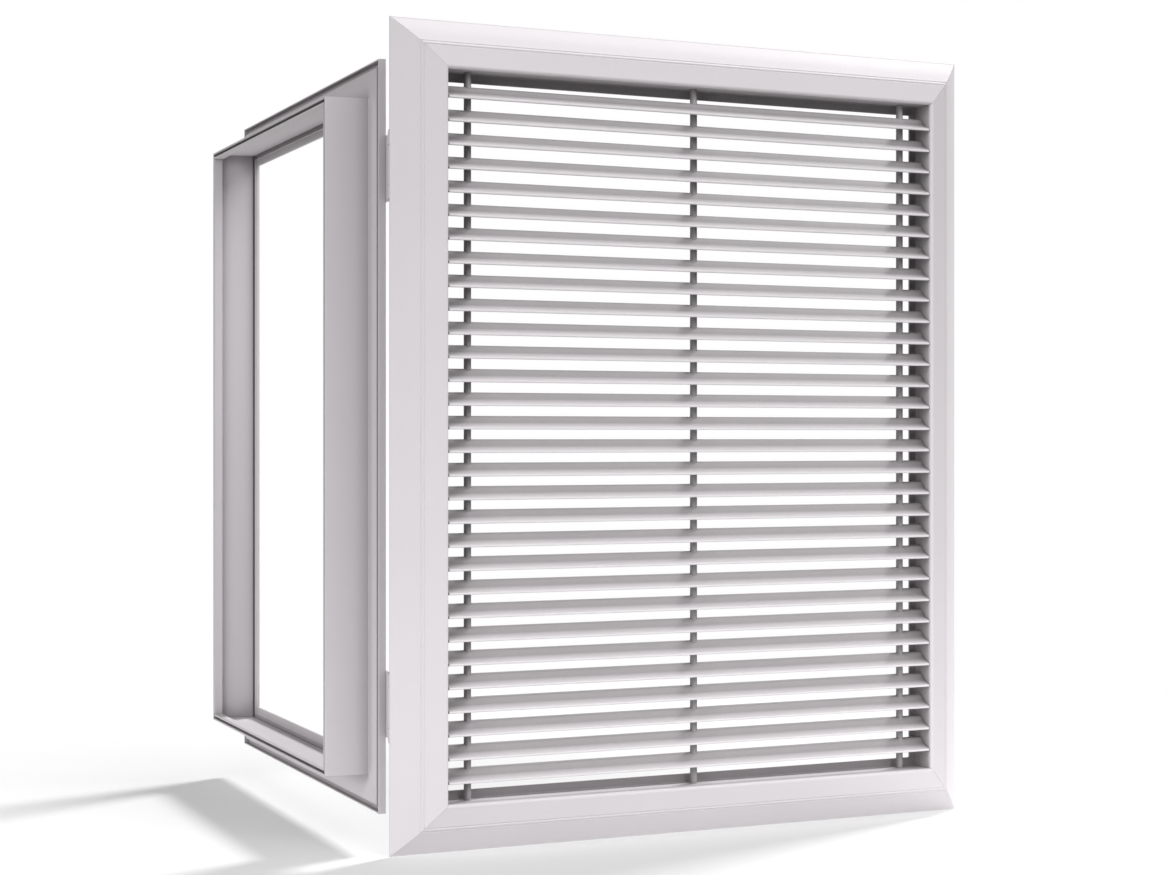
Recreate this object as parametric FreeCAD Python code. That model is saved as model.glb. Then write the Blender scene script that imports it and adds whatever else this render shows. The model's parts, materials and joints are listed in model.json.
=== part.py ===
import FreeCAD, Part
import math
import os

# Hinged linear bar grille with a rear mounting frame, all in millimetres.
#
# The rear frame sits in a wall or duct opening: its neck goes into the opening and its
# flange rests against the wall. The door is a mitred border that holds a core of fixed
# blades on three rods, and it swings on two butt hinges at its left edge.
#
# Origin: centre of the neck in the wall plane, which is the flange's back face.
# +X is to the right seen from the room, +Y points into the duct, +Z is up.
# Door pieces are drawn closed and then turned about the hinge axis to the open rest pose.

V = FreeCAD.Vector
UP = V(0, 0, 1)
DUCTWARD = V(0, 1, 0)

# --- driving dimensions -------------------------------------------------------------
DOOR_WIDTH = 370.0
DOOR_HEIGHT = 450.0
DOOR_BACK_GAP = 5.0        # wall plane to the back of the closed door
DOOR_OPEN_ANGLE = 82.8     # degrees between the closed door and the rest pose

FLANGE_WIDTH = 330.0
FLANGE_HEIGHT = 410.0
FLANGE_DEPTH = 4.2
NECK_INSET = 19.0          # flange edge to the outside of the neck
NECK_DEPTH = 25.0          # neck length behind the wall plane
NECK_WALL = 1.2

PIVOT_INSET = 2.65         # hinge axis, measured in from the closed door's left edge
PIVOT_Y = -2.65            # hinge axis, in front of the wall plane
HINGE_SPACING = 291.0      # centre to centre, along Z
HINGE_LENGTH = 36.0

BLADE_COUNT = 30
BLADE_PITCH = 12.7
BLADE_ROW_OFFSET = -2.6    # middle of the blades' front lower edges, below the door's middle
BLADE_FRONT = 15.0         # height of the blades' noses above the door's back
BLADE_END_GAP = 0.3

ROD_RADIUS = 2.0
ROD_HEIGHT = 5.6           # rod axis above the door's back
ROD_INSET = 43.5           # outer rods, in from the door's side edges
ROD_HOLE_PLAY = 0.03

MITRE_GAP = 0.05           # half of the hairline between two mitred members

# --- door border section: (in from the outer edge, height above the back, corner radius)
BORDER_INNER = 28.25       # outer edge to the face of the opening
BORDER_NECK_WALL = 1.5
BORDER_LIP = 33.2          # outer edge to the edge of the rear lip
LIP_THICKNESS = 1.2
FOOT_BACK = 1.7            # the leg's foot, which the hinge leaf is riveted to
FOOT_FRONT = 3.0
LEG_OUTER = 12.6
LEG_INNER = 14.0
LEDGE_BACK = 7.0           # ledges that hold the corner keys
LEDGE_FRONT = 8.2
LEDGE_REACH = 1.2
NECK_OUTSIDE = BORDER_INNER - BORDER_NECK_WALL
NECK_HEIGHT = DOOR_HEIGHT - 2 * NECK_OUTSIDE

BORDER_SECTION = [
    (0.0, 0.0, 0),
    (0.0, 0.9, 0.4),
    (0.7, 1.3, 0.5),
    (6.45, 6.45, 60),
    (13.05, 11.25, 0.15),
    (13.3, 11.12, 0.1),
    (13.65, 11.3, 0.1),
    (13.8, 11.75, 0.25),
    (14.35, 12.2, 0.4),
    (14.95, 12.25, 0.2),
    (15.05, 12.08, 0.08),
    (15.35, 12.2, 0.1),
    (15.6, 12.65, 0.25),
    (27.8, 16.65, 1.5),
    (BORDER_INNER, LIP_THICKNESS, 0.8),
    (BORDER_LIP, LIP_THICKNESS, 0.25),
    (BORDER_LIP, 0.0, 0.25),
    (NECK_OUTSIDE, 0.0, 0.3),
    (NECK_OUTSIDE, LEDGE_BACK, 0),
    (NECK_OUTSIDE - LEDGE_REACH, LEDGE_BACK, 0.2),
    (NECK_OUTSIDE - LEDGE_REACH, LEDGE_FRONT, 0.2),
    (NECK_OUTSIDE, LEDGE_FRONT, 0),
    (NECK_OUTSIDE, 14.7, 0.8),
    (LEG_INNER, 10.5, 0),
    (LEG_INNER, LEDGE_FRONT, 0),
    (LEG_INNER + LEDGE_REACH, LEDGE_FRONT, 0.2),
    (LEG_INNER + LEDGE_REACH, LEDGE_BACK, 0.2),
    (LEG_INNER, LEDGE_BACK, 0),
    (LEG_INNER, FOOT_BACK, 0.2),
    (6.0, FOOT_BACK, 0.3),
    (6.0, FOOT_FRONT, 0.3),
    (LEG_OUTER, FOOT_FRONT, 0.4),
    (LEG_OUTER, 9.4, 0.4),
    (1.4, 0.0, 0.1),
]

# --- rear frame section: (in from the flange edge, depth behind the wall plane, radius)
FRAME_LIP = 27.0           # flange edge to the edge of the front lip
FRONT_SKIN = 1.3
SLOT_START = 0.8           # rear slot near the flange edge
SLOT_END = 4.3
SLOT_DEPTH = 3.0
NECK_INSIDE = NECK_INSET + NECK_WALL
RIM_GROOVE = 1.6           # groove in the neck's rear rim
RIM_INNER = NECK_INSIDE + RIM_GROOVE + NECK_WALL
RIM_STEP = 19.6            # where the thicker rim meets the thin wall
LIP_BACK = -FLANGE_DEPTH + 1.5
CREASE_END = 18.5          # slot in the corner between the front lip and the neck's inside
CREASE_WIDTH = 1.3

FRAME_SECTION = [
    (0.0, -FLANGE_DEPTH, 0.3),
    (FRAME_LIP, -FLANGE_DEPTH, 0.3),
    (FRAME_LIP, LIP_BACK, 0.3),
    (23.0, LIP_BACK, 0),
    (22.7, LIP_BACK + 0.5, 0.15),
    (22.1, LIP_BACK + 0.5, 0.15),
    (21.8, LIP_BACK, 0),
    (CREASE_END, LIP_BACK, 0.2),
    (CREASE_END, LIP_BACK + CREASE_WIDTH, 0.2),
    (NECK_INSIDE, LIP_BACK + CREASE_WIDTH, 0.25),
    (NECK_INSIDE, RIM_STEP, 0.3),
    (RIM_INNER, RIM_STEP, 0.3),
    (RIM_INNER, NECK_DEPTH, 0.4),
    (RIM_INNER - NECK_WALL, NECK_DEPTH, 0.3),
    (RIM_INNER - NECK_WALL, RIM_STEP + NECK_WALL, 0.3),
    (NECK_INSIDE, RIM_STEP + NECK_WALL, 0.3),
    (NECK_INSIDE, NECK_DEPTH, 0.3),
    (NECK_INSET, NECK_DEPTH, 0.4),
    (NECK_INSET, 0.0, 0.6),
    (SLOT_END, 0.0, 0.25),
    (SLOT_END, -SLOT_DEPTH, 0),
    (SLOT_START, -SLOT_DEPTH, 0),
    (SLOT_START, 0.0, 0.2),
    (0.0, 0.0, 0.3),
]

# Closed channel inside the flange for the flat corner keys.
CHANNEL_START = 5.6
CHANNEL_END = 17.4
CHANNEL_FRONT = -2.9
CHANNEL_BACK = -1.3
CHANNEL_SECTION = [
    (CHANNEL_START, CHANNEL_FRONT, 0.2),
    (CHANNEL_END, CHANNEL_FRONT, 0.2),
    (CHANNEL_END, CHANNEL_BACK, 0.2),
    (CHANNEL_START, CHANNEL_BACK, 0.2),
]

# --- blade section: (back from the nose, up from the nose's lower edge, radius)
BLADE_SECTION = [
    (0.0, 0.0, 0.55),
    (0.0, 1.15, 0.45),
    (4.05, 3.05, 8.0),
    (8.4, 7.4, 0.7),
    (12.6, 7.4, 0.5),
    (12.6, 6.1, 0.5),
    (9.15, 6.1, 1.4),
    (5.0, 1.3, 1.2),
    (1.4, 0.0, 0.6),
]

# --- hinge ---------------------------------------------------------------------------
KNUCKLE_RADIUS = 2.35
PIN_RADIUS = 1.25
PIN_HEAD_RADIUS = 2.0
PIN_HEAD_HEIGHT = 0.9
PIN_PLAY = 0.05
FRAME_KNUCKLE_LENGTH = 21.4
KNUCKLE_GAP = 0.35
LEAF_THICKNESS = 1.0
NOTCH_END = 6.3            # the frame leaf is notched this far in, around the door's knuckles
FRAME_LEAF_END = 25.8      # in from the closed door's left edge
LEAF_CORNER = 1.5

DOOR_LEAF_BACK = 0.7
DOOR_LEAF_END = 13.9
DOOR_LEAF_SECTION = [
    (2.65, -0.3, 0),
    (3.7, 1.5, 0.5),
    (4.7, DOOR_LEAF_BACK + LEAF_THICKNESS, 0.5),
    (DOOR_LEAF_END, DOOR_LEAF_BACK + LEAF_THICKNESS, 0),
    (DOOR_LEAF_END, DOOR_LEAF_BACK, 0),
    (5.2, DOOR_LEAF_BACK, 0.5),
    (4.2, -0.8, 0),
    (2.65, -1.0, 0),
]

RIVET_RADIUS = 1.2
RIVET_SPACING = 24.0
RIVET_HEAD_RADIUS = 2.3
RIVET_HEAD_HEIGHT = 0.9
RIVET_TAIL_RADIUS = 1.6
RIVET_TAIL_HEIGHT = 1.0
FRAME_RIVET_INSET = SLOT_START + (SLOT_END - SLOT_START) / 2
DOOR_RIVET_INSET = 9.4

# --- magnetic catches ------------------------------------------------------------------
CATCH_SPACING = 240.0
CATCH_LENGTH = 30.0
CATCH_GAP = 0.35           # between magnet and strike when the door is closed
STRIKE_START = 0.4         # in from the flange edge
STRIKE_END = 6.0
STRIKE_THICKNESS = 0.8
MAGNET_CLEARANCE = 0.05
MAGNET_CHAMFER = 0.6

# --- small parts -----------------------------------------------------------------------
RETAINER_RADIUS = 4.0
RETAINER_THICKNESS = 0.8
RETAINER_NOTCH = 0.3       # clearance round a ring where it cuts into the neck's ledge
ROD_END_STICKOUT = 1.3
DOOR_KEY_THICKNESS = 1.8
DOOR_KEY_ARM = 38.0
FRAME_KEY_ARM = 40.0
KEY_CLEARANCE = 0.1
KEY_CORNER = 1.0

PIVOT = V(-DOOR_WIDTH / 2 + PIVOT_INSET, PIVOT_Y, 0)
ROD_POSITIONS = {
    "left": -DOOR_WIDTH / 2 + ROD_INSET,
    "centre": 0.0,
    "right": DOOR_WIDTH / 2 - ROD_INSET,
}
HINGE_POSITIONS = {"upper": HINGE_SPACING / 2, "lower": -HINGE_SPACING / 2}
CATCH_POSITIONS = {"upper": CATCH_SPACING / 2, "lower": -CATCH_SPACING / 2}
SIDES = {"top": 0, "right": 90, "bottom": 180, "left": 270}


# --- drawing helpers -----------------------------------------------------------------
def outline(corners):
    """Closed wire in the XY plane through corners (x, y, radius), each rounded by a tangent arc."""
    points = [V(x, y, 0) for x, y, _ in corners]
    starts, ends, middles = [], [], []
    for i, (_, _, radius) in enumerate(corners):
        here = points[i]
        back = (points[i - 1] - here).normalize()
        ahead = (points[(i + 1) % len(points)] - here).normalize()
        if radius == 0:
            starts.append(here)
            ends.append(here)
            middles.append(None)
            continue
        half_angle = back.getAngle(ahead) / 2
        tangent = radius / math.tan(half_angle)
        inward = (back + ahead).normalize()
        starts.append(here + back * tangent)
        ends.append(here + ahead * tangent)
        middles.append(here + inward * (radius / math.sin(half_angle) - radius))
    edges = []
    for i in range(len(points)):
        if middles[i] is not None:
            edges.append(Part.Arc(starts[i], middles[i], ends[i]).toShape())
        following = starts[(i + 1) % len(points)]
        if (following - ends[i]).Length > 1e-6:
            edges.append(Part.LineSegment(ends[i], following).toShape())
    return Part.Wire(Part.__sortEdges__(edges))


def section_face(corners, origin, across, along):
    """Face of an outline whose x runs along `across` and whose y runs along `along`."""
    face = Part.Face(outline(corners))
    normal = across.cross(along)
    matrix = FreeCAD.Matrix(
        across.x, along.x, normal.x, origin.x,
        across.y, along.y, normal.y, origin.y,
        across.z, along.z, normal.z, origin.z,
        0, 0, 0, 1)
    face.Placement = FreeCAD.Placement(matrix)
    return face


def mitred_member(section, width, height, side, y_start, y_direction):
    """One member of a mitred frame, drawn as the top one and turned to its side."""
    angle = SIDES[side]
    run, reach = (width, height / 2) if angle % 180 == 0 else (height, width / 2)
    depth = max(point[0] for point in section) + 1
    face = section_face(section, V(-run / 2, y_start, reach), V(0, 0, -1), V(0, y_direction, 0))
    bar = face.extrude(V(run, 0, 0))
    half = run / 2 - MITRE_GAP * math.sqrt(2)
    corners = [
        V(-half, -60, reach), V(half, -60, reach),
        V(half - depth, -60, reach - depth), V(-half + depth, -60, reach - depth),
    ]
    wedge = Part.Face(Part.makePolygon(corners + corners[:1])).extrude(V(0, 120, 0))
    member = bar.common(wedge)
    member.rotate(V(0, 0, 0), DUCTWARD, angle)
    return member


def closed_door_point(inset, height, z):
    """Point on the closed door, from its left edge and from its back."""
    return V(-DOOR_WIDTH / 2 + inset, -DOOR_BACK_GAP - height, z)


def cylinder(radius, start, direction, length):
    return Part.makeCylinder(radius, length, start, direction)


def rounded_plate(x0, x1, z0, z1, y0, y1, radius):
    """Flat plate with rounded corners, from y0 to y1."""
    corners = [(x0, z0, radius), (x1, z0, radius), (x1, z1, radius), (x0, z1, radius)]
    face = section_face(corners, V(0, y0, 0), V(1, 0, 0), UP)
    return face.extrude(V(0, y1 - y0, 0))


def l_plate(arm, inner, outer, corner_radius, thickness):
    """L-shaped key in the XZ plane, for the corner at the origin with arms towards -X and -Z."""
    corners = [
        (-inner, -inner, corner_radius), (-arm, -inner, corner_radius),
        (-arm, -outer, corner_radius), (-outer, -outer, corner_radius),
        (-outer, -arm, corner_radius), (-inner, -arm, corner_radius),
    ]
    return section_face(corners, V(0, 0, 0), V(1, 0, 0), UP).extrude(V(0, thickness, 0))


def four_corners(key, width, height):
    """The key in the top right corner and its three mirror images."""
    key.translate(V(width / 2, 0, height / 2))
    right = [key, key.mirror(V(0, 0, 0), UP)]
    left = [shape.mirror(V(0, 0, 0), V(1, 0, 0)) for shape in right]
    return Part.makeCompound(right + left)


# --- rear frame ------------------------------------------------------------------------
def frame_rivet_points(hinge_z):
    x = -FLANGE_WIDTH / 2 + FRAME_RIVET_INSET
    return [V(x, 0, hinge_z + offset) for offset in (-RIVET_SPACING / 2, RIVET_SPACING / 2)]


def frame_member(side):
    sizes = (FLANGE_WIDTH, FLANGE_HEIGHT, side, 0, 1)
    member = mitred_member(FRAME_SECTION, *sizes).cut(mitred_member(CHANNEL_SECTION, *sizes))
    if side == "left":
        for hinge_z in HINGE_POSITIONS.values():
            for point in frame_rivet_points(hinge_z):
                member = member.cut(cylinder(RIVET_RADIUS, point - DUCTWARD * 10, DUCTWARD, 10))
    return member


def frame_corner_keys():
    key = l_plate(FRAME_KEY_ARM, CHANNEL_START + KEY_CLEARANCE, CHANNEL_END - KEY_CLEARANCE,
                  KEY_CORNER, CHANNEL_BACK - CHANNEL_FRONT - KEY_CLEARANCE)
    key.translate(V(0, CHANNEL_FRONT + KEY_CLEARANCE / 2, 0))
    return four_corners(key, FLANGE_WIDTH, FLANGE_HEIGHT)


# --- door ------------------------------------------------------------------------------
def door_rivet_points(hinge_z):
    return [closed_door_point(DOOR_RIVET_INSET, 0, hinge_z + offset)
            for offset in (-RIVET_SPACING / 2, RIVET_SPACING / 2)]


def border_member(side):
    member = mitred_member(BORDER_SECTION, DOOR_WIDTH, DOOR_HEIGHT, side, -DOOR_BACK_GAP, -1)
    if side in ("top", "bottom"):
        for x in ROD_POSITIONS.values():
            start = V(x, -DOOR_BACK_GAP - ROD_HEIGHT, -NECK_HEIGHT / 2 - LEDGE_REACH)
            hole_length = NECK_HEIGHT + 2 * LEDGE_REACH
            member = member.cut(cylinder(ROD_RADIUS + ROD_HOLE_PLAY, start, UP, hole_length))
            for z in (NECK_HEIGHT / 2, -NECK_HEIGHT / 2 - LEDGE_REACH):
                seat = V(x, start.y, z)
                member = member.cut(cylinder(RETAINER_RADIUS + RETAINER_NOTCH, seat, UP, LEDGE_REACH))
    if side == "left":
        for hinge_z in HINGE_POSITIONS.values():
            for point in door_rivet_points(hinge_z):
                member = member.cut(cylinder(RIVET_RADIUS, point, -DUCTWARD, FOOT_FRONT + 0.5))
    return member


def blade(number):
    """Blades are numbered from the top down."""
    first = BLADE_PITCH * (BLADE_COUNT - 1) / 2 + BLADE_ROW_OFFSET
    z = first - BLADE_PITCH * (number - 1)
    length = DOOR_WIDTH - 2 * (BORDER_INNER + BLADE_END_GAP)
    origin = V(-length / 2, -DOOR_BACK_GAP - BLADE_FRONT, z)
    bar = section_face(BLADE_SECTION, origin, DUCTWARD, UP).extrude(V(length, 0, 0))
    for x in ROD_POSITIONS.values():
        start = V(x, -DOOR_BACK_GAP - ROD_HEIGHT, z - BLADE_PITCH)
        bar = bar.cut(cylinder(ROD_RADIUS + ROD_HOLE_PLAY, start, UP, 2 * BLADE_PITCH))
    return bar


def rod_end():
    return NECK_HEIGHT / 2 + ROD_END_STICKOUT


def mandrel_rod(x):
    rod = cylinder(ROD_RADIUS, V(x, -DOOR_BACK_GAP - ROD_HEIGHT, -rod_end()), UP, 2 * rod_end())
    ends = [edge for edge in rod.Edges if edge.Curve.TypeId == "Part::GeomCircle"]
    return rod.makeChamfer(0.3, ends)


def rod_retainers():
    """Push-on rings at the six rod ends, against the outside of the border's neck."""
    rings = []
    for x in ROD_POSITIONS.values():
        for z in (NECK_HEIGHT / 2, -NECK_HEIGHT / 2 - RETAINER_THICKNESS):
            start = V(x, -DOOR_BACK_GAP - ROD_HEIGHT, z)
            ring = cylinder(RETAINER_RADIUS, start, UP, RETAINER_THICKNESS)
            hole = cylinder(ROD_RADIUS + ROD_HOLE_PLAY, start, UP, RETAINER_THICKNESS)
            rings.append(ring.cut(hole))
    return Part.makeCompound(rings)


def door_corner_keys():
    key = l_plate(DOOR_KEY_ARM, LEG_INNER + KEY_CLEARANCE, NECK_OUTSIDE - KEY_CLEARANCE,
                  KEY_CORNER, DOOR_KEY_THICKNESS)
    key.translate(V(0, -DOOR_BACK_GAP - LEDGE_FRONT - DOOR_KEY_THICKNESS, 0))
    return four_corners(key, DOOR_WIDTH, DOOR_HEIGHT)


# --- hinges ------------------------------------------------------------------------------
def knuckle(z0, z1, hole_radius):
    centre = V(PIVOT.x, PIVOT.y, z0)
    ring = cylinder(KNUCKLE_RADIUS, centre, UP, z1 - z0)
    return ring, cylinder(hole_radius, centre - UP, UP, z1 - z0 + 2)


def frame_leaf(hinge_z):
    """Leaf on the flange's front face, with the long middle knuckle."""
    half = HINGE_LENGTH / 2
    middle = FRAME_KNUCKLE_LENGTH / 2
    left = -DOOR_WIDTH / 2
    y0, y1 = -FLANGE_DEPTH - LEAF_THICKNESS, -FLANGE_DEPTH
    plate = rounded_plate(left + NOTCH_END, left + FRAME_LEAF_END, hinge_z - half,
                          hinge_z + half, y0, y1, LEAF_CORNER)
    tongue = Part.makeBox(NOTCH_END + LEAF_CORNER * 2 - PIVOT_INSET, LEAF_THICKNESS,
                          FRAME_KNUCKLE_LENGTH, V(PIVOT.x, y0, hinge_z - middle))
    ring, hole = knuckle(hinge_z - middle, hinge_z + middle, PIN_RADIUS + 0.01)
    leaf = plate.fuse([tongue, ring]).removeSplitter().cut(hole)
    for point in frame_rivet_points(hinge_z):
        leaf = leaf.cut(cylinder(RIVET_RADIUS, point - DUCTWARD * 10, DUCTWARD, 10))
    return leaf


def door_leaf(hinge_z):
    """Leaf on the foot of the door's left member, with a knuckle at each end."""
    half = HINGE_LENGTH / 2
    near = FRAME_KNUCKLE_LENGTH / 2 + KNUCKLE_GAP
    origin = closed_door_point(0, 0, hinge_z - half)
    face = section_face(DOOR_LEAF_SECTION, origin, V(1, 0, 0), -DUCTWARD)
    leaf = face.extrude(UP * HINGE_LENGTH)
    window = Part.makeBox(NOTCH_END, 20, 2 * near, V(-DOOR_WIDTH / 2, -15, hinge_z - near))
    leaf = leaf.cut(window)
    for z0, z1 in ((hinge_z - half, hinge_z - near), (hinge_z + near, hinge_z + half)):
        ring, hole = knuckle(z0, z1, PIN_RADIUS + PIN_PLAY)
        leaf = leaf.fuse(ring).cut(hole)
    leaf = leaf.removeSplitter()
    for point in door_rivet_points(hinge_z):
        start = point - DUCTWARD * DOOR_LEAF_BACK
        sink = Part.makeCone(RIVET_HEAD_RADIUS, RIVET_RADIUS, LEAF_THICKNESS, start, -DUCTWARD)
        leaf = leaf.cut(sink)
    return leaf


def hinge_pin(hinge_z):
    half = HINGE_LENGTH / 2 + KNUCKLE_GAP
    centre = V(PIVOT.x, PIVOT.y, hinge_z)
    pin = cylinder(PIN_RADIUS, centre - UP * half, UP, 2 * half)
    for z, rim in ((half, PIN_HEAD_RADIUS), (-half - PIN_HEAD_HEIGHT, PIN_HEAD_RADIUS)):
        head = cylinder(rim, centre + UP * z, UP, PIN_HEAD_HEIGHT)
        circles = [edge for edge in head.Edges if edge.Curve.TypeId == "Part::GeomCircle"]
        outer = max(circles, key=lambda edge: abs(edge.CenterOfMass.z - hinge_z))
        pin = pin.fuse(head.makeFillet(0.5, [outer]))
    return pin.removeSplitter()


def domed_disc(radius, height, start, direction):
    disc = cylinder(radius, start, direction, height)
    circles = [edge for edge in disc.Edges if edge.Curve.TypeId == "Part::GeomCircle"]
    far = max(circles, key=lambda edge: (edge.CenterOfMass - start).Length)
    return disc.makeFillet(height * 0.6, [far])


def frame_hinge_rivets():
    """Dome-head rivets through the frame leaves and the flange's front skin."""
    rivets = []
    for hinge_z in HINGE_POSITIONS.values():
        for point in frame_rivet_points(hinge_z):
            seat = point + V(0, -FLANGE_DEPTH - LEAF_THICKNESS, 0)
            slot_floor = point + V(0, -SLOT_DEPTH, 0)
            shank = cylinder(RIVET_RADIUS, seat, DUCTWARD, (slot_floor - seat).Length)
            head = domed_disc(RIVET_HEAD_RADIUS, RIVET_HEAD_HEIGHT, seat, -DUCTWARD)
            tail = domed_disc(RIVET_TAIL_RADIUS, RIVET_TAIL_HEIGHT, slot_floor, DUCTWARD)
            rivets.append(shank.fuse([head, tail]).removeSplitter())
    return Part.makeCompound(rivets)


def door_hinge_rivets():
    """Countersunk rivets through the door leaves and the foot of the border."""
    rivets = []
    for hinge_z in HINGE_POSITIONS.values():
        for point in door_rivet_points(hinge_z):
            start = point - DUCTWARD * DOOR_LEAF_BACK
            foot_face = point - DUCTWARD * FOOT_FRONT
            head = Part.makeCone(RIVET_HEAD_RADIUS, RIVET_RADIUS, LEAF_THICKNESS, start, -DUCTWARD)
            shank = cylinder(RIVET_RADIUS, start, -DUCTWARD, FOOT_FRONT - DOOR_LEAF_BACK)
            tail = domed_disc(RIVET_TAIL_RADIUS, RIVET_TAIL_HEIGHT, foot_face, -DUCTWARD)
            rivets.append(head.fuse([shank, tail]).removeSplitter())
    return Part.makeCompound(rivets)


# --- catches -----------------------------------------------------------------------------
def strike_plate(z):
    """Thin steel strip bonded to the flange's front face, on the latch side."""
    edge = FLANGE_WIDTH / 2
    return rounded_plate(edge - STRIKE_END, edge - STRIKE_START,
                         z - CATCH_LENGTH / 2, z + CATCH_LENGTH / 2,
                         -FLANGE_DEPTH - STRIKE_THICKNESS, -FLANGE_DEPTH, LEAF_CORNER)


def catch_magnet(z):
    """Magnet snapped between the leg and the neck of the door's right member."""
    right = DOOR_WIDTH / 2
    inside = -DOOR_BACK_GAP - LEDGE_BACK
    face = -FLANGE_DEPTH - STRIKE_THICKNESS - CATCH_GAP
    near = right - NECK_OUTSIDE + MAGNET_CLEARANCE
    far = right - LEG_INNER - MAGNET_CLEARANCE
    block = Part.makeBox(far - near, face - inside, CATCH_LENGTH,
                         V(near, inside, z - CATCH_LENGTH / 2))
    rim = [edge for edge in block.Edges if abs(edge.BoundBox.YMin - face) < 1e-6]
    return block.makeChamfer(MAGNET_CHAMFER, rim)


# --- assembly ------------------------------------------------------------------------------
def rear_frame_parts():
    parts = {"frame_%s_member" % side: frame_member(side) for side in SIDES}
    parts["frame_corner_keys"] = frame_corner_keys()
    parts["hinge_rivets_frame_side"] = frame_hinge_rivets()
    for name, z in HINGE_POSITIONS.items():
        parts["%s_hinge_frame_leaf" % name] = frame_leaf(z)
        parts["%s_hinge_pin" % name] = hinge_pin(z)
    for name, z in CATCH_POSITIONS.items():
        parts["%s_strike_plate" % name] = strike_plate(z)
    return parts


def closed_door_parts():
    parts = {"border_%s_member" % side: border_member(side) for side in SIDES}
    for number in range(1, BLADE_COUNT + 1):
        parts["blade_%02d" % number] = blade(number)
    for name, x in ROD_POSITIONS.items():
        parts["mandrel_rod_%s" % name] = mandrel_rod(x)
    parts["rod_retainers"] = rod_retainers()
    parts["door_corner_keys"] = door_corner_keys()
    parts["hinge_rivets_door_side"] = door_hinge_rivets()
    for name, z in HINGE_POSITIONS.items():
        parts["%s_hinge_door_leaf" % name] = door_leaf(z)
    for name, z in CATCH_POSITIONS.items():
        parts["%s_catch_magnet" % name] = catch_magnet(z)
    return parts


def main():
    os.makedirs("parts", exist_ok=True)
    parts = rear_frame_parts()
    for node, shape in closed_door_parts().items():
        shape.rotate(PIVOT, UP, -DOOR_OPEN_ANGLE)
        parts[node] = shape
    for node, shape in parts.items():
        if not shape.isValid():
            raise ValueError("invalid shape: " + node)
        shape.exportStep("parts/%s.step" % node)
        print(node, len(shape.Solids), round(shape.Volume, 2))


main()
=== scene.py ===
import json
import math

import bmesh
import bpy
from mathutils import Matrix, Vector


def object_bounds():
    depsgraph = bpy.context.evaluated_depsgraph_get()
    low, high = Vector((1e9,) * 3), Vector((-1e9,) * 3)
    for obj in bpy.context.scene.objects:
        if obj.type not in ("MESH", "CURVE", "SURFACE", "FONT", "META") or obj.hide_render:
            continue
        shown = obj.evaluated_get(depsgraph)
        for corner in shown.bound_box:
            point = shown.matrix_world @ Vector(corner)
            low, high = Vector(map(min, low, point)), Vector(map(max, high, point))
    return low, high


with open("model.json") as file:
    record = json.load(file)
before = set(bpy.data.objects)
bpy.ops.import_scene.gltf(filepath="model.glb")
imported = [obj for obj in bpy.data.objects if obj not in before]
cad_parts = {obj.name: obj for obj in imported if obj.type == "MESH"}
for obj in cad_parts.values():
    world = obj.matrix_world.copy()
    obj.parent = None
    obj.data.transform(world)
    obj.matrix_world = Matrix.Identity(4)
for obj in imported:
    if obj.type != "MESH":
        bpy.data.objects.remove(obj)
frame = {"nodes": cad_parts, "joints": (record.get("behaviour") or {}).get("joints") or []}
cad_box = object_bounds()

NODES = frame["nodes"]
JOINT = frame["joints"][0]
OPEN_ANGLE = math.radians(JOINT["range_deg"][1])
PIVOT = Vector(JOINT["pos_m"])
CLOSING = Matrix.Rotation(OPEN_ANGLE, 3, "Z")
DOOR_CENTRE = PIVOT - CLOSING.transposed() @ PIVOT   # middle of the open door
DOOR_HALF_SIZE = (0.185, 0.225)                      # half its width, half its height

# --- view ------------------------------------------------------------------------------
CAMERA_PLACE = (-1.4602, 0.3643, -0.0006)
CAMERA_HEADING = math.radians(-20.454)     # from +X towards -Y
CAMERA_LENS = 76.2
CAMERA_SENSOR = 36.0
CAMERA_CLIP_START = 0.01

# --- light -----------------------------------------------------------------------------
# Distant soft lamps: degrees from the camera's side of the object towards the picture's
# right, degrees up, strength, width in degrees.
LAMPS = {
    "back_key": (141, 40, 3.4, 13),
    "front_left": (-45, 12, 1.56, 40),
    "front_right": (45, 35, 1.36, 40),
    "right_fill": (90, 30, 0.75, 40),
    "back_fill": (180, 30, 0.15, 40),
    "front_fill": (0, 50, 0.6, 40),
}
BACKDROP_WHITE = 1.0                       # what the camera sees behind the object
ROOM_LIGHT = 0.03                          # what the surroundings add to the lamps

# --- floor -----------------------------------------------------------------------------
FLOOR_RADIUS = 1.0
FLOOR_SEGMENTS = 96
FLOOR_FADE_START = 0.4                     # share of the radius that is fully solid
FLOOR_DROP = 0.0005                        # below the lowest point of the door
FLOOR_TONE = (0.6, 0.6, 0.6)
FLOOR_GLOW = 0.25                          # lit table top: lightens the shadows on it
FLOOR_ROUGHNESS = 0.9
FLOOR_SHEEN = 0.1

# --- finishes --------------------------------------------------------------------------
COAT_WHITE = (0.735, 0.704, 0.726)
# The frame's coat is the door's, painted darker as shade.
FRAME_SHADED_WHITE = (0.645, 0.618, 0.637)
# The blades' coat is the door's, painted lighter as light on their bright noses.
BLADE_LIT_WHITE = (0.82, 0.787, 0.81)
HINGE_WHITE = (0.66, 0.63, 0.65)
STEEL_GREY = (0.56, 0.56, 0.57)
ZINC_GREY = (0.62, 0.63, 0.65)
SPRING_GREY = (0.30, 0.30, 0.31)
MAGNET_BLACK = (0.045, 0.045, 0.048)
MAGNET_DUST = (0.35, 0.34, 0.33)
COAT_ROUGHNESS = 0.55
COAT_SHEEN = 0.2
COAT_IOR = 1.48

# --- painted shade on the powder coat ----------------------------------------------------
# Colour painted into the coat as shade where surfaces shield each other.
RECESS_SHADE_COLOR = (0.20, 0.19, 0.195)
RECESS_SAMPLES = 8
RECESS_SHIELDING = (0.45, 0.9)             # openness at which the painted shade is darkest, and starts
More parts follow.
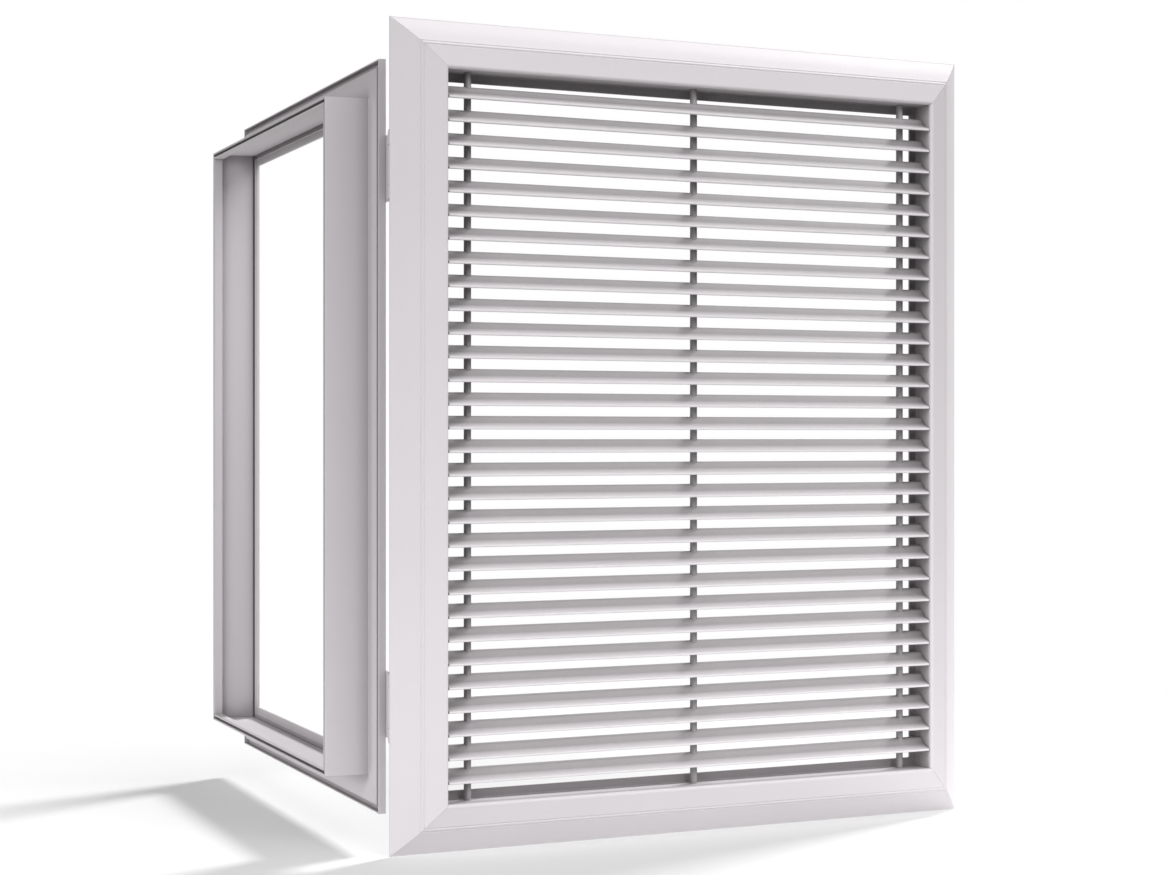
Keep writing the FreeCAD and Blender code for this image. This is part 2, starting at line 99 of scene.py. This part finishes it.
# On each kind of piece: strength of the painted shade, and how far apart surfaces still
# shield each other.
RECESSES = {
    "frame": (0.5, 0.012),
    "border": (0.7, 0.016),
    "blade": (0.72, 0.016),
    "rod": (0.9, 0.016),
    "hinge": (0.4, 0.010),
}
OPENING_SHADE_INSETS = (0.02786, 0.0279)    # painted shade inside the opening, in from the door's edges: start, full
BLADE_PITCH = 0.0127
BLADE_FIRST_EDGE = 0.18155                 # height of the top blade's front lower edge
PITCHES_DOWN = 40                          # whole pitches, to below the lowest blade
CREASE_SHADE = 0.5                          # extra painted shade in the crease behind each nose
CREASE_HEIGHTS = (0.0016, 0.0038, 0.0064)  # above the lower edge: start, darkest, crest
CREST_SHARE = 0.1                          # of the crease's painted shade, left at the crest


# --- node helpers ----------------------------------------------------------------------
class Graph:
    """A material's node tree, with short calls for the nodes that the finishes share."""

    def __init__(self, name):
        self.material = bpy.data.materials.new(name)
        self.material.use_nodes = True
        self.tree = self.material.node_tree
        self.shader = self.tree.nodes["Principled BSDF"]
        self.coordinates = self.tree.nodes.new("ShaderNodeTexCoord").outputs["Object"]

    def node(self, kind, **settings):
        made = self.tree.nodes.new(kind)
        for key, value in settings.items():
            setattr(made, key, value)
        return made

    def link(self, source, target):
        self.tree.links.new(source, target)

    def stretched(self, run_angle, along, across, vertical):
        """Coordinates scaled along a horizontal run direction, across it and up."""
        turn = self.node("ShaderNodeMapping")
        turn.inputs["Rotation"].default_value = (0, 0, -run_angle)
        self.link(self.coordinates, turn.inputs["Vector"])
        scale = self.node("ShaderNodeMapping")
        scale.inputs["Scale"].default_value = (along, across, vertical)
        self.link(turn.outputs["Vector"], scale.inputs["Vector"])
        return scale.outputs["Vector"]

    def noise(self, scale, detail=2.0, roughness=0.5, vector=None):
        made = self.node("ShaderNodeTexNoise")
        made.inputs["Scale"].default_value = scale
        made.inputs["Detail"].default_value = detail
        made.inputs["Roughness"].default_value = roughness
        self.link(vector or self.coordinates, made.inputs["Vector"])
        return made.outputs["Fac"]

    def remap(self, value, low, high, from_low=0.3, from_high=0.7):
        made = self.node("ShaderNodeMapRange", clamp=True)
        made.inputs["From Min"].default_value = from_low
        made.inputs["From Max"].default_value = from_high
        made.inputs["To Min"].default_value = low
        made.inputs["To Max"].default_value = high
        self.link(value, made.inputs["Value"])
        return made.outputs["Result"]

    def math(self, operation, first, second):
        made = self.node("ShaderNodeMath", operation=operation)
        for socket, value in zip(made.inputs, (first, second)):
            if isinstance(value, (int, float)):
                socket.default_value = value
            else:
                self.link(value, socket)
        return made.outputs["Value"]

    def blend(self, factor, first, second):
        made = self.node("ShaderNodeMix", data_type="RGBA")
        self.link(factor, made.inputs["Factor"])
        for socket, value in zip((made.inputs[6], made.inputs[7]), (first, second)):
            if isinstance(value, tuple):
                socket.default_value = (*value, 1)
            else:
                self.link(value, socket)
        return made.outputs[2]

    def recesses(self, reach):
        """Mask for painted shade: 0 on open faces, rising to 1 deep between neighbouring
        surfaces.
        """
        made = self.node("ShaderNodeAmbientOcclusion", samples=RECESS_SAMPLES)
        made.inputs["Distance"].default_value = reach
        return self.remap(made.outputs["AO"], 1, 0, *RECESS_SHIELDING)

    def inside_opening(self):
        """Mask for painted shade: 1 on the walls and rear lip of the door's opening, 0 on
        its front faces.
        """
        place = self.node("ShaderNodeMapping")
        place.inputs["Rotation"].default_value = (0, 0, OPEN_ANGLE)
        place.inputs["Location"].default_value = -(CLOSING @ DOOR_CENTRE)
        self.link(self.coordinates, place.inputs["Vector"])
        split = self.node("ShaderNodeSeparateXYZ")
        self.link(place.outputs["Vector"], split.inputs["Vector"])
        insets = []
        for half, axis in zip(DOOR_HALF_SIZE, "XZ"):
            offset = self.math("ABSOLUTE", split.outputs[axis], 0)
            insets.append(self.math("SUBTRACT", half, offset))
        return self.remap(self.math("MINIMUM", *insets), 0, 1, *OPENING_SHADE_INSETS)

    def blade_crease(self):
        """Mask for painted shade: 1 in the crease behind each blade's nose, 0 on the nose,
        little at the crest.
        """
        split = self.node("ShaderNodeSeparateXYZ")
        self.link(self.coordinates, split.inputs["Vector"])
        below_all = PITCHES_DOWN * BLADE_PITCH - BLADE_FIRST_EDGE
        raised = self.math("ADD", split.outputs["Z"], below_all)
        height = self.math("MODULO", raised, BLADE_PITCH)
        start, middle, crest = CREASE_HEIGHTS
        rising = self.remap(height, 0, 1, start, middle)
        falling = self.remap(height, 1, CREST_SHARE, middle, crest)
        return self.math("MULTIPLY", rising, falling)

    def bump(self, height, depth, strength=1.0, normal=None):
        made = self.node("ShaderNodeBump")
        made.inputs["Strength"].default_value = strength
        made.inputs["Distance"].default_value = depth
        self.link(height, made.inputs["Height"])
        if normal is not None:
            self.link(normal, made.inputs["Normal"])
        return made.outputs["Normal"]


def shade(color, factor):
    """Lighter or darker version of a colour."""
    return tuple(min(1.0, channel * factor) for channel in color)


# --- finishes --------------------------------------------------------------------------
def powder_coat(name, kind, run_angle, upright=False, peel=1.0, color=COAT_WHITE):
    """Satin powder coat over an extrusion: orange peel, grain, faint die lines, and shade
    painted into recesses, the door's opening and the blades' creases.
    """
    graph = Graph(name)
    drift = graph.remap(graph.noise(11, detail=3), 0, 1)
    tone = graph.blend(drift, shade(color, 0.985), shade(color, 1.012))
    fleck = graph.remap(graph.noise(2600, detail=1), 0, 1, 0.35, 0.65)
    tone = graph.blend(graph.math("MULTIPLY", fleck, 0.35), tone, shade(color, 0.965))
    # Shade is painted into the colour where surfaces shield each other.
    strength, reach = RECESSES[kind]
    dust_and_shade = graph.math("MULTIPLY", graph.recesses(reach), strength)
    # On the border the painted shade reaches only the opening's walls and rear lip.
    if kind == "border":
        dust_and_shade = graph.math("MULTIPLY", dust_and_shade, graph.inside_opening())
    # Extra shade painted into the crease behind each blade's nose.
    if kind == "blade":
        crease = graph.math("MULTIPLY", graph.blade_crease(), CREASE_SHADE)
        dust_and_shade = graph.math("MINIMUM", graph.math("ADD", dust_and_shade, crease), 1.0)
    tone = graph.blend(dust_and_shade, tone, RECESS_SHADE_COLOR)
    graph.link(tone, graph.shader.inputs["Base Color"])

    scale = (900, 900, 14) if upright else (14, 900, 900)
    die_lines = graph.noise(1, detail=2, vector=graph.stretched(run_angle, *scale))
    handled = graph.remap(graph.noise(26, detail=4, roughness=0.6), -0.035, 0.045)
    streaks = graph.remap(die_lines, -0.03, 0.03)
    rough = graph.math("ADD", graph.math("ADD", handled, streaks), COAT_ROUGHNESS)
    graph.link(rough, graph.shader.inputs["Roughness"])

    normal = graph.bump(die_lines, 0.000012)
    normal = graph.bump(graph.noise(620, detail=1), 0.00003 * peel, normal=normal)
    normal = graph.bump(graph.noise(3200, detail=1), 0.000005 * peel, normal=normal)
    graph.link(normal, graph.shader.inputs["Normal"])
    graph.shader.inputs["IOR"].default_value = COAT_IOR
    graph.shader.inputs["Specular IOR Level"].default_value = COAT_SHEEN
    return graph.material


def drawn_steel(name, color, scale, roughness):
    """Bright metal with fine lines left by drawing or grinding."""
    graph = Graph(name)
    lines = graph.noise(1, detail=3, vector=graph.stretched(0, *scale))
    stain = graph.remap(graph.noise(140, detail=4), 0, 1)
    tone = graph.blend(graph.remap(lines, 0, 1), shade(color, 0.9), shade(color, 1.08))
    tone = graph.blend(graph.math("MULTIPLY", stain, 0.25), tone, shade(color, 0.72))
    graph.link(tone, graph.shader.inputs["Base Color"])
    rough = graph.math("ADD", graph.remap(lines, -0.07, 0.07), roughness)
    graph.link(rough, graph.shader.inputs["Roughness"])
    graph.link(graph.bump(lines, 0.00001), graph.shader.inputs["Normal"])
    graph.shader.inputs["Metallic"].default_value = 1.0
    return graph.material


def zinc_plate(name, color):
    """Zinc plating: soft cloudy patches and a fine pitted grain."""
    graph = Graph(name)
    spangle = graph.node("ShaderNodeTexVoronoi")
    spangle.inputs["Scale"].default_value = 260
    graph.link(graph.coordinates, spangle.inputs["Vector"])
    cloud = graph.remap(spangle.outputs["Color"], 0, 1, 0.1, 0.9)
    tone = graph.blend(cloud, shade(color, 0.88), shade(color, 1.06))
    graph.link(tone, graph.shader.inputs["Base Color"])
    rough = graph.math("ADD", graph.remap(cloud, -0.06, 0.08, 0, 1), 0.38)
    graph.link(rough, graph.shader.inputs["Roughness"])
    grain = graph.noise(1900, detail=2)
    graph.link(graph.bump(grain, 0.00001), graph.shader.inputs["Normal"])
    graph.shader.inputs["Metallic"].default_value = 1.0
    return graph.material


def magnet_block(name, color):
    """Bonded ferrite: matt, dark and slightly grainy."""
    graph = Graph(name)
    grain = graph.noise(1500, detail=3)
    dust_and_shade = graph.remap(graph.noise(90, detail=3), 0, 1, 0.45, 0.8)
    tone = graph.blend(graph.remap(grain, 0, 1), shade(color, 0.75), shade(color, 1.5))
    tone = graph.blend(graph.math("MULTIPLY", dust_and_shade, 0.12), tone, MAGNET_DUST)
    graph.link(tone, graph.shader.inputs["Base Color"])
    graph.link(graph.remap(grain, 0.62, 0.82), graph.shader.inputs["Roughness"])
    graph.link(graph.bump(grain, 0.00004), graph.shader.inputs["Normal"])
    return graph.material


# --- dressing the CAD nodes --------------------------------------------------------------
def dress(node, material):
    slots = NODES[node].data.materials
    slots.clear()
    slots.append(material)


def dress_all():
    door_run = -OPEN_ANGLE
    coats = {
        "frame_flat": powder_coat("frame_coat_horizontal", "frame", 0, color=FRAME_SHADED_WHITE),
        "frame_upright": powder_coat("frame_coat_vertical", "frame", 0, upright=True,
                                     color=FRAME_SHADED_WHITE),
        "door_flat": powder_coat("door_coat_horizontal", "border", door_run),
        "door_upright": powder_coat("door_coat_vertical", "border", door_run, upright=True),
        "blade": powder_coat("blade_coat", "blade", door_run, peel=0.8, color=BLADE_LIT_WHITE),
        "rod": powder_coat("rod_coat", "rod", door_run, upright=True, peel=0.5),
        "hinge": powder_coat("hinge_coat", "hinge", 0, upright=True, peel=0.6,
                             color=HINGE_WHITE),
    }
    pin = drawn_steel("pin_steel", STEEL_GREY, (2400, 2400, 60), 0.3)
    rivet = drawn_steel("rivet_steel", STEEL_GREY, (1400, 1400, 1400), 0.34)
    spring = drawn_steel("spring_steel", SPRING_GREY, (700, 2000, 700), 0.4)
    zinc = zinc_plate("zinc_plate", ZINC_GREY)
    magnet = magnet_block("magnet_ferrite", MAGNET_BLACK)
    for node in NODES:
        if node.endswith("_member"):
            owner = "frame" if node.startswith("frame") else "door"
            run = "flat" if "_top_" in node or "_bottom_" in node else "upright"
            dress(node, coats[owner + "_" + run])
        elif node.startswith("blade_"):
            dress(node, coats["blade"])
        elif node.startswith("mandrel_rod"):
            dress(node, coats["rod"])
        elif node.endswith("_leaf"):
            dress(node, coats["hinge"])
        elif node.endswith("_pin"):
            dress(node, pin)
        elif node.startswith("hinge_rivets"):
            dress(node, rivet)
        elif node == "rod_retainers":
            dress(node, spring)
        elif node.endswith("_magnet"):
            dress(node, magnet)
        else:
            dress(node, zinc)


# --- stage -------------------------------------------------------------------------------
def floor_material():
    """Pale matt floor that fades out towards its rim."""
    graph = Graph("floor")
    graph.shader.inputs["Base Color"].default_value = (*FLOOR_TONE, 1)
    graph.shader.inputs["Roughness"].default_value = FLOOR_ROUGHNESS
    graph.shader.inputs["Specular IOR Level"].default_value = FLOOR_SHEEN
    graph.shader.inputs["Emission Color"].default_value = (1, 1, 1, 1)
    graph.shader.inputs["Emission Strength"].default_value = FLOOR_GLOW
    distance = graph.node("ShaderNodeVectorMath", operation="LENGTH")
    graph.link(graph.coordinates, distance.inputs[0])
    solid = graph.node("ShaderNodeMapRange", interpolation_type="SMOOTHSTEP")
    solid.inputs["From Min"].default_value = FLOOR_RADIUS * FLOOR_FADE_START
    solid.inputs["From Max"].default_value = FLOOR_RADIUS
    solid.inputs["To Min"].default_value = 1
    solid.inputs["To Max"].default_value = 0
    graph.link(distance.outputs["Value"], solid.inputs["Value"])
    graph.link(solid.outputs["Result"], graph.shader.inputs["Alpha"])
    return graph.material


def make_floor():
    mesh = bpy.data.meshes.new("floor")
    shape = bmesh.new()
    bmesh.ops.create_circle(shape, cap_ends=True, segments=FLOOR_SEGMENTS,
                          radius=FLOOR_RADIUS)
    shape.to_mesh(mesh)
    shape.free()
    floor = bpy.data.objects.new("floor", mesh)
    low, high = cad_box
    floor.location = ((low.x + high.x) / 2, (low.y + high.y) / 2, low.z - FLOOR_DROP)
    mesh.materials.append(floor_material())
    bpy.context.scene.collection.objects.link(floor)


def make_world():
    """White backdrop that adds little light of its own."""
    world = bpy.data.worlds.new("studio")
    world.use_nodes = True
    bpy.context.scene.world = world
    tree = world.node_tree
    rays = tree.nodes.new("ShaderNodeLightPath")
    strength = tree.nodes.new("ShaderNodeMapRange")
    strength.inputs["To Min"].default_value = ROOM_LIGHT
    strength.inputs["To Max"].default_value = BACKDROP_WHITE
    tree.links.new(rays.outputs["Is Camera Ray"], strength.inputs["Value"])
    background = tree.nodes["Background"]
    background.inputs["Color"].default_value = (1, 1, 1, 1)
    tree.links.new(strength.outputs["Result"], background.inputs["Strength"])


def make_lamps():
    towards_camera = math.pi + CAMERA_HEADING
    for name, (across, up, strength, width) in LAMPS.items():
        light = bpy.data.lights.new(name, "SUN")
        light.energy = strength
        light.angle = math.radians(width)
        heading = towards_camera + math.radians(across)
        height = math.radians(up)
        source = Vector((math.cos(heading) * math.cos(height),
                         math.sin(heading) * math.cos(height), math.sin(height)))
        lamp = bpy.data.objects.new(name, light)
        lamp.rotation_mode = "QUATERNION"
        lamp.rotation_quaternion = source.to_track_quat("Z", "Y")
        bpy.context.scene.collection.objects.link(lamp)


def make_camera():
    data = bpy.data.cameras.new("camera")
    data.lens = CAMERA_LENS
    data.sensor_width = CAMERA_SENSOR
    data.clip_start = CAMERA_CLIP_START
    camera = bpy.data.objects.new("camera", data)
    camera.location = CAMERA_PLACE
    camera.rotation_euler = (math.pi / 2, 0, CAMERA_HEADING - math.pi / 2)
    bpy.context.scene.collection.objects.link(camera)
    bpy.context.scene.camera = camera


dress_all()
make_floor()
make_world()
make_lamps()
make_camera()
bpy.context.scene.view_settings.view_transform = "Standard"
